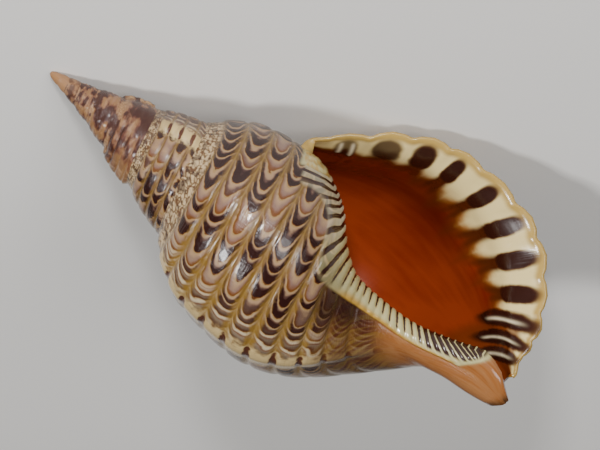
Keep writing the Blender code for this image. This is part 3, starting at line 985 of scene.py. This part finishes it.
def ribPattern(turn, rib):
    # nested crescents on every rib, some of them with a dark blotch, between ochre grooves
    part = calc("FRACT", rib)
    wide = calc("ABSOLUTE", minus(times(part, 2), 1))
    arch = inverse(times(wide, wide))
    which = calc("FLOOR", rib)
    grown = times(calc("EXPONENT", times(turn, 0.377)), look["crescents"])
    ripple = times(noise(turn, rib, 55, 2.5, seed=3), 0.14)
    bent = add(turn, times(ripple, 0.22))
    nearVarix = 0.0
    onVarix = 0.0
    for at in varices + (0.0,):
        nearVarix = add(nearVarix, hump(turn, at - 0.06, 0.07))
        onVarix = add(onVarix, hump(bent, at + 0.03, 0.05))
    wander = times(noise(turn, rib, 9, 0.8, 1), 0.8)
    shorter = add(times(nearVarix, 0.9), times(rise(turn, *look["shortTurns"]), 0.8))
    reach = minus(look["crescentReach"], shorter)
    place = add(grown, times(arch, reach, -1), wander, ripple, times(lot(which, 1), 0.5))
    crescent = calc("FLOOR", place)
    phase = calc("FRACT", place)

    cluster = noise(crescent, which, 0.4, 0.36, 1)
    chance = add(times(cluster, 0.62), times(lot(crescent, which, 2), 0.5))
    dark = times(rise(chance, *look["darkShare"]), inverse(times(nearVarix, 0.6)))
    thick = lot(crescent, which, 5)
    core = rise(add(wide, times(thick, 0.3)), 1.08, 0.82)

    ground = blend(rise(phase, 0.1, 0.6), "cream", "lilac")
    ground = paint(ground, "white", nearVarix, 0.8)
    line = blend(times(wide, wide), "orangeBrown", "ochre")
    ground = paint(ground, line, rise(phase, 0.5, 0.9), 0.95)
    early = add(phase, times(thick, 0.3))
    ground = paint(ground, "grey", rise(early, 0.3, 0.5), dark, core)
    ground = paint(ground, "maroon", rise(early, 0.45, 0.62), dark, core)
    ground = paint(ground, line, rise(phase, 0.9, 0.95), 0.6)
    between = times(hump(phase, 0.42, 0.1), nearVarix, 0.8)
    ground = paint(ground, "redBrown", between)
    ground = paint(ground, "paleOchre", rise(phase, 0.14, 0.04), 0.6)

    side = times(inverse(wide), 0.5)
    golden = rise(turn, *look["goldenTurns"])
    groove = rise(add(side, ripple, times(golden, -0.05)), 0.32, 0.12)
    grooveColour = blend(golden, "ochre", "gold")
    broken = add(times(noise(turn, rib, 40, 1.3, seed=53), -0.6), 1.05)
    ground = paint(ground, grooveColour, groove, broken)
    ground = paint(ground, "paleOchre", hump(side, 0, 0.035), 0.5)

    ground = paint(ground, "varix", rise(onVarix, 0.15, 0.75), 0.95)
    dots = rise(times(onVarix, hump(side, 0, 0.17)), 0.3, 0.6)
    return paint(ground, "brown", dots)


def bandPattern(turn, rib):
    # small pale beads with brown between them, just below the suture
    push = noise(turn, rib, 30, 3, seed=37)
    across = add(times(rib, 5), times(push, 0.9))
    place = joined(add(times(turn, relief["Beads"]), push), across)
    cells = {"Vector": place, "Scale": 1, "Randomness": look["beadSpread"]}
    away = fed("ShaderNodeTexVoronoi", cells, feature="F1")["Distance"]
    bead = blend(times(rise(away, 0.3, 0.66), 0.8), "bandCream", "ochre")
    bead = paint(bead, "brown", rise(away, 0.46, 0.74), 0.75)
    patch = noise(turn, rib, 26, 2, seed=7)
    return paint(bead, "maroon", rise(patch, 0.5, 0.8), 0.7)


def outsideColour(turn, rib):
    body = ribPattern(turn, rib)
    band = bandPattern(turn, rib)
    body = paint(body, band, rise(rib, *look["bandRibs"]))
    tones = noise(turn, rib, 3.4, 0.6, 4, seed=11)
    spire = blend(rise(tones, 0.25, 0.55), "spireTan", "spirePink")
    body = paint(body, spire, rise(turn, *look["spireTurns"]), 0.7)
    rusty = add(tones, times(hump(rib, 1.0, 0.6), 0.12))
    rusty = rise(rusty, *look["rustShare"])
    body = paint(body, "rust", rusty, rise(turn, *look["rustTurns"]), 0.9)
    body = paint(body, "spireTan", rise(turn, *look["tipTurns"]))
    # the whorl's lower end darkens, with oblique streaks, and turns to tan at the beak
    streak = noise(add(times(turn, 26), times(rib, 3)), rib, 1, 0.5, seed=13)
    low = blend(rise(streak, 0.25, 0.75), "ochre", "brown")
    body = paint(body, low, rise(rib, *look["lowRibs"]), 0.85)
    shadow = times(rise(turn, -1.27, -1.4), rise(rib, 7.4, 8.4), rise(rib, 10.8, 10))
    body = paint(body, "maroon", shadow, 0.85)
    faint = blend(times(streak, 0.6), "beakTan", "beakPale")
    pale = noise(turn, rib, 5, 2, 3, seed=47)
    faint = paint(faint, "beakPale", rise(pale, 0.35, 0.8), 0.55)
    return paint(body, faint, rise(rib, *look["beakRibs"]))


def foldColour(turn, rib, fold, margin, body):
    # pale folds with black grooves between them, thin white folds at the canal, a yellow edge;
    # the wall shows through the coat's upper part
    part = calc("FRACT", fold)
    side = calc("MINIMUM", part, inverse(part))
    toCanal = rise(fold, *look["canalFolds"])
    pale = blend(rise(fold, 9, 6), "foldPale", "foldWhite")
    glazed = times(rise(fold, 12, 9), rise(margin, 0.26, 0.04), 0.62)
    pale = paint(pale, body, glazed)
    margin = minus(margin, times(rise(fold, 9, 13), 0.07))
    ground = blend(times(rise(margin, 0.04, -0.03), rise(fold, 9, 12)), pale, "margin")
    wobble = times(noise(turn, fold, 30, 0.7, seed=17), 0.08)
    length = times(lot(calc("ROUND", fold), 3), rise(fold, 9, 14), 0.1)
    taper = times(rise(margin, 0.5, 0.05), 0.09)
    wider = add(times(toCanal, -0.23), times(rise(fold, 10, 8), -0.1))
    gap = rise(add(side, wobble, taper, wider), 0.28, 0.19)
    gap = times(gap, rise(minus(margin, length), 0.0, 0.06))
    stain = rise(add(side, wobble, taper), 0.42, 0.2)
    stain = times(stain, rise(margin, 0.04, 0.12), 0.55)
    ground = paint(ground, "margin", stain)
    ground = paint(ground, "bar", gap)
    end = add(rib, times(add(turn, 2), coil["beakSlant"]))
    ground = paint(ground, body, rise(end, *look["beakEdge"]))
    return paint(ground, "foldPale", hump(end, 12.64, 0.03))


def insideColour(turn, rib):
    # cream lip with a dark bar on each rib, orange-brown within
    depth = times(turn, -1)
    part = calc("FRACT", rib)
    off = calc("ABSOLUTE", minus(part, 0.5))
    width, reach, darkness, ridges = barTable(rib)
    rough = noise(turn, rib, 45, 2.5, seed=19)
    band = add(times(hump(rib, 7, 3.4), look["lipWidest"]), look["lipReach"])
    lobed = times(band, add(times(off, 0.7), 0.66))
    inwards = add(over(depth, lobed), times(rough, 0.06))
    streaks = noise(turn, rib, 44, 0.5, seed=41)
    # painted light: the amber is painted lighter deeper in the hollow; the noise and the streaks
    # vary its tone
    amberToneAndLight = noise(turn, rib, 6, 0.4, seed=23)
    amberToneAndLight = add(times(amberToneAndLight, 0.55), times(streaks, 0.3), times(rise(depth, 0.12, 0.4), 0.5))
    deep = blend(amberToneAndLight, "deepAmber", "amber")
    ground = blend(rise(inwards, 0.72, 1.15), "lipCream", "lipTan")
    ground = paint(ground, "lipBrown", rise(inwards, 0.9, 1.3))
    ground = paint(ground, deep, rise(inwards, 1.1, 1.9))
    brownEnd = times(rise(rib, 9.2, 10), rise(depth, 0.02, 0.045), 0.8)
    ground = paint(ground, "lipBrown", brownEnd)
    beakFloor = times(rise(rib, 12.5, 12.9), rise(depth, 0.14, 0.02))
    ground = paint(ground, "beakTan", beakFloor)
    ground = paint(ground, "rimYellow", rise(depth, 0.014, 0.004))
    length = calc("MAXIMUM", times(reach, band), 0.001)
    along = over(minus(depth, 0.012), length)
    across = over(times(off, 2), calc("MAXIMUM", width, 0.001))
    across = add(across, times(rough, 0.16))
    halfway = calc("ABSOLUTE", minus(times(along, 2), 1))
    away = add(calc("POWER", across, 3), calc("POWER", halfway, 3))
    tail = times(rise(across, 1.5, 0.6), rise(along, 0.3, 0.7), rise(inwards, 2.0, 1.1))
    ground = paint(ground, "tail", tail, darkness)
    ground = paint(ground, "tail", rise(away, 2.6, 0.9), darkness)
    ground = paint(ground, "bar", rise(away, 1.7, 0.7), darkness)
    paired = times(hump(off, 0.14, 0.05), rise(rib, 2.2, 1.9))
    single = times(hump(off, 0.0, 0.08), rise(rib, 1.9, 2.2))
    tooth = times(add(paired, single), rise(halfway, 1.0, 0.6), ridges)
    return paint(ground, "tooth", tooth)


def shellMaterial():
    material = bpy.data.materials.new("shell")
    material.use_nodes = True
    openTrees.append(material.node_tree)
    surface = material.node_tree.nodes["Principled BSDF"]
    place = addNode("ShaderNodeUVMap", uv_map="coil").outputs[0]
    turn, rib, _ = fed("ShaderNodeSeparateXYZ", {0: place})
    coat, inside = attribute("coat"), attribute("inside")
    fold, margin = attribute("fold"), attribute("margin")
    body = outsideColour(turn, rib)
    folds = foldColour(turn, rib, fold, margin, body)
    outer = blend(rise(coat, 0.2, 0.7), body, folds)
    # pale callus where the lip joins the whorl above
    corner = times(rise(fold, 1.7, 0.9), rise(margin, -0.09, 0.0), rise(rib, 4.35, 4.6))
    mottled = noise(turn, rib, 22, 3, seed=43)
    callus = blend(rise(mottled, 0.3, 0.7), "rimYellow", "foldPale")
    outer = paint(outer, callus, corner, 0.92)
    outer = paint(outer, "rimYellow", rise(turn, -0.02, -0.006))  # the lip's very edge
    inner = insideColour(turn, rib)
    lining = blend(rise(turn, -2.03, -2.09), folds, "deepAmber")
    inner = paint(inner, lining, calc("GREATER_THAN", inside, 1.5))
    plug(blend(calc("GREATER_THAN", inside, 0.5), outer, inner), surface.inputs["Base Color"])
    for name in ("Roughness", "Specular IOR Level", "Coat Weight", "Coat Roughness"):
        surface.inputs[name].default_value = look[name]
    growthLines = times(noise(turn, rib, 200, 1.5, seed=29), 0.5)
    threads = noise(turn, rib, 18, 16, seed=31)
    polished = add(coat, times(inside, 0.8))
    lines = times(add(growthLines, threads), inverse(calc("MINIMUM", polished, 1)))
    bump = {"Strength": look["bumpStrength"], "Distance": look["bumpDistance"], "Height": lines}
    plug(fed("ShaderNodeBump", bump)[0], surface.inputs["Normal"])
    return material


# the set
view = {
    "middle": Vector((15.7, 0.0, 174.1)),  # the picture's middle, in the coil's millimetres
    "across": 0.3441,  # metres from the picture's left to its right, at the shell
    "distance": 1.8,
    "axisRight": 0.80,  # the coil's axis in the picture: right and down
    "axisDown": 0.599,
    "sensor": 36,
}


def viewAxes():
    # the picture's middle, and the directions right, up and towards the viewer, in the frame
    turned = lyingTurn()
    middle = (turned @ view["middle"] + pose["coilCentre"]) * 0.001
    right = turned @ Vector((view["axisDown"], 0, view["axisRight"]))
    up = turned @ Vector((view["axisRight"], 0, -view["axisDown"]))
    towards = turned @ Vector((0, 1, 0))
    return middle, right.normalized(), up.normalized(), towards.normalized()


def setCamera():
    middle, right, up, towards = viewAxes()
    data = bpy.data.cameras.new("camera")
    data.sensor_width = view["sensor"]
    data.lens = view["sensor"] * view["distance"] / view["across"]
    camera = placed("camera", data)
    axes = Matrix((right, up, towards)).transposed().to_4x4()
    camera.matrix_world = Matrix.Translation(middle + towards * view["distance"]) @ axes
    bpy.context.scene.camera = camera
    print("camera looks down", round(math.degrees(math.asin(towards.z)), 1), "degrees")


studio = {
    "floorSize": 8.0,
    "floorColor": (0.8, 0.78, 0.75, 1),
    "floorRoughness": 0.8,
    "sky": (0.8, 0.8, 0.8, 1),
    "skyStrength": 0.14,
}
lamps = {  # place from the picture's middle as (right, up, towards the viewer), size, power
    "keyLight": ((-0.1, 0.6, 2.2), 0.26, 44.0),
    "fillLight": ((1.2, -0.2, 2.2), 0.9, 22.0),
    "topLight": ((-0.4, 2.0, 0.9), 1.1, 4.0),
    "lowLight": ((-1.4, -0.8, 1.6), 0.4, 34.0),
    "backLight": ((0.3, 1.5, -1.3), 1.4, 16.0),
}


def setStudio():
    half = studio["floorSize"] / 2
    mesh = bpy.data.meshes.new("floor")
    corners = [(-half, -half, 0), (half, -half, 0), (half, half, 0), (-half, half, 0)]
    mesh.from_pydata(corners, [], [(0, 1, 2, 3)])
    floorPaint = bpy.data.materials.new("floorPaint")
    floorPaint.use_nodes = True
    surface = floorPaint.node_tree.nodes["Principled BSDF"]
    surface.inputs["Base Color"].default_value = studio["floorColor"]
    surface.inputs["Roughness"].default_value = studio["floorRoughness"]
    mesh.materials.append(floorPaint)
    floor = placed("floor", mesh)
    middle, right, up, towards = viewAxes()
    for name, (place, size, power) in lamps.items():
        data = bpy.data.lights.new(name, "AREA")
        data.size = size
        data.energy = power
        lamp = placed(name, data)
        lamp.location = middle + right * place[0] + up * place[1] + towards * place[2]
        lamp.rotation_euler = (middle - lamp.location).to_track_quat("-Z", "Y").to_euler()
    world = bpy.data.worlds.new("studioSky")
    world.use_nodes = True
    sky = world.node_tree.nodes["Background"]
    sky.inputs["Color"].default_value = studio["sky"]
    sky.inputs["Strength"].default_value = studio["skyStrength"]
    bpy.context.scene.world = world


shell = shellPiece(shellMaterial())
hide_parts("triton_shell")
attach(shell, "root")
setCamera()
setStudio()
